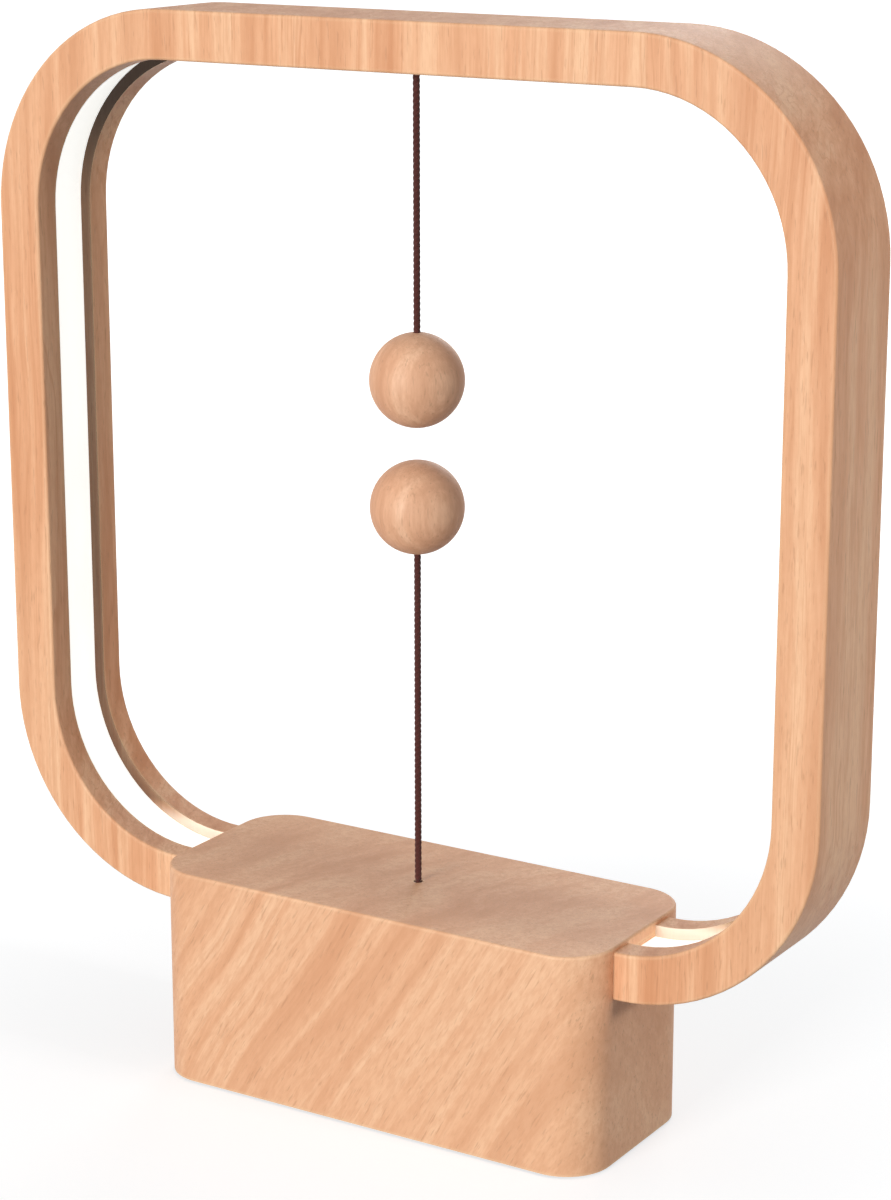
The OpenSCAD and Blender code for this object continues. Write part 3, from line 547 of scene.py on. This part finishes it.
def bead_yarn(name, node, body, stub=False):
    """A round knot or bend in the string, as big as its node, with a stub of string below it or none."""
    low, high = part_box(node)
    radius = (high.x - low.x) / 2
    turn = np.linspace(BEAD_END_ANGLE, math.pi - BEAD_END_ANGLE, BEAD_RINGS)
    heights, radii = high.z - radius + radius * np.cos(turn), radius * np.sin(turn)
    if stub:
        kept = (heights > high.z - radius) | (radii > STRING_DIAMETER / 2)
        heights, radii = heights[kept], radii[kept]
        heights = np.append(heights, np.linspace(heights[-1], low.z, STUB_RINGS + 1)[1:])
        radii = np.append(radii, np.full(STUB_RINGS, STRING_DIAMETER / 2))
    twisted_yarn(name, heights, radii, node, body)


upper_cord = cord_yarn("upper_cord", UPPER_STRING_TOP, UPPER_STRING_END, "upper_string", "upper_ball")

lower_cord = cord_yarn("lower_cord", LOWER_STRING_TOP, LOWER_STRING_END, "lower_string", "lower_string")
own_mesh(lower_cord)

inner_low, inner_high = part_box("inner_string")
cord_yarn("inner_cord", inner_high.z, inner_low.z, "inner_string", "string_pull")
bead_yarn("upper_knot_yarn", "upper_knot", "base", stub=True)
bead_yarn("upper_bend_yarn", "upper_bend", "upper_bend")
bead_yarn("lower_bend_yarn", "lower_bend", "lower_bend")


# ---------------------------------------------------------------- floor and surroundings

FLOOR_RADIUS = 12
FLOOR_CORNERS = 64
# the floor's tone as the lamps light it, and as the camera and reflections see it
GROUND_TONE = 0.16
GROUND_TONE_SEEN = 0.48
# its glow, which whitens it from the object outwards and which only the camera and reflections see; being
# weaker near the object, it deepens the real shadow there into a painted shadow pool
GROUND_GLOW_NEAR = 0.67
GROUND_GLOW_FAR = 1.0
GROUND_GLOW_TINT = (0.99, 1.0, 1.01, 1)
GROUND_NEAR = 0.07
GROUND_FAR = 0.38
# the light of the surroundings, which the camera and reflections see as white
SKY_LEVEL = 0.36
WHITE_LEVEL = 1.0


def seen(nodes, low, high):
    """low for diffuse light, high for camera, glossy and transmitted rays."""
    rays = nodes.add("ShaderNodeLightPath").outputs
    share = nodes.math("MAXIMUM", rays["Is Camera Ray"], rays["Is Glossy Ray"])
    share = nodes.math("MAXIMUM", share, rays["Is Transmission Ray"])
    return nodes.add("ShaderNodeMapRange", Value=share, To_Min=low, To_Max=high).outputs[0]


def floor_paper():
    """Matt paper that keeps the shadow near the object, where a weaker glow deepens it into a painted shadow
    pool, and is white further out.
    """
    material = bpy.data.materials.new("floor_paper")
    material.use_nodes = True
    nodes = Nodes(material.node_tree)
    way = nodes.vector_math("LENGTH", nodes.add("ShaderNodeTexCoord").outputs["Object"])["Value"]
    # the glow is weaker near the object: a painted shadow pool around the real shadow
    whiter = nodes.span(way, GROUND_NEAR, GROUND_FAR, GROUND_GLOW_NEAR, GROUND_GLOW_FAR)
    matt = nodes.add("ShaderNodeBsdfDiffuse", Color=seen(nodes, GROUND_TONE, GROUND_TONE_SEEN))
    glow = nodes.add("ShaderNodeEmission", Color=GROUND_GLOW_TINT, Strength=seen(nodes, 0.0, whiter))
    both = nodes.add("ShaderNodeAddShader")
    nodes.put(both.inputs[0], matt.outputs[0])
    nodes.put(both.inputs[1], glow.outputs[0])
    nodes.add("ShaderNodeOutputMaterial", Surface=both.outputs[0])
    return material


turns = [i * 2 * math.pi / FLOOR_CORNERS for i in range(FLOOR_CORNERS)]
corners = [(FLOOR_RADIUS * math.cos(turn), FLOOR_RADIUS * math.sin(turn), 0) for turn in turns]
ground_mesh = bpy.data.meshes.new("floor")
ground_mesh.from_pydata(corners, [], [tuple(range(FLOOR_CORNERS))])
ground_mesh.materials.append(floor_paper())
ground = bpy.data.objects.new("floor", ground_mesh)
bpy.context.scene.collection.objects.link(ground)

world = bpy.data.worlds.new("studio")
world.use_nodes = True
bpy.context.scene.world = world
sky = Nodes(world.node_tree)
backdrop = sky.add("ShaderNodeBackground", Color=(1, 1, 1, 1), Strength=seen(sky, SKY_LEVEL, WHITE_LEVEL))
sky.add("ShaderNodeOutputWorld", Surface=backdrop.outputs[0])


# ---------------------------------------------------------------- lamps

def lamp(name, azimuth, elevation, distance, size, power, colour):
    """A square soft lamp of so many watts, aimed at the middle of the ring."""
    data = bpy.data.lights.new(name, "AREA")
    data.shape = "SQUARE"
    data.size = size
    data.energy = power
    data.color = colour
    obj = bpy.data.objects.new(name, data)
    bpy.context.scene.collection.objects.link(obj)
    aim(obj, azimuth, elevation, distance)


lamp("key", azimuth=-6, elevation=9, distance=2.2, size=0.7, power=37, colour=(1.0, 0.98, 0.955))
lamp("side_fill", azimuth=91, elevation=20, distance=1.6, size=0.2, power=6.1, colour=(0.97, 0.98, 1.0))
lamp("back_fill", azimuth=195, elevation=16, distance=1.6, size=0.6, power=5.4, colour=(1.0, 1.0, 1.0))

bpy.context.scene.view_settings.view_transform = "Standard"
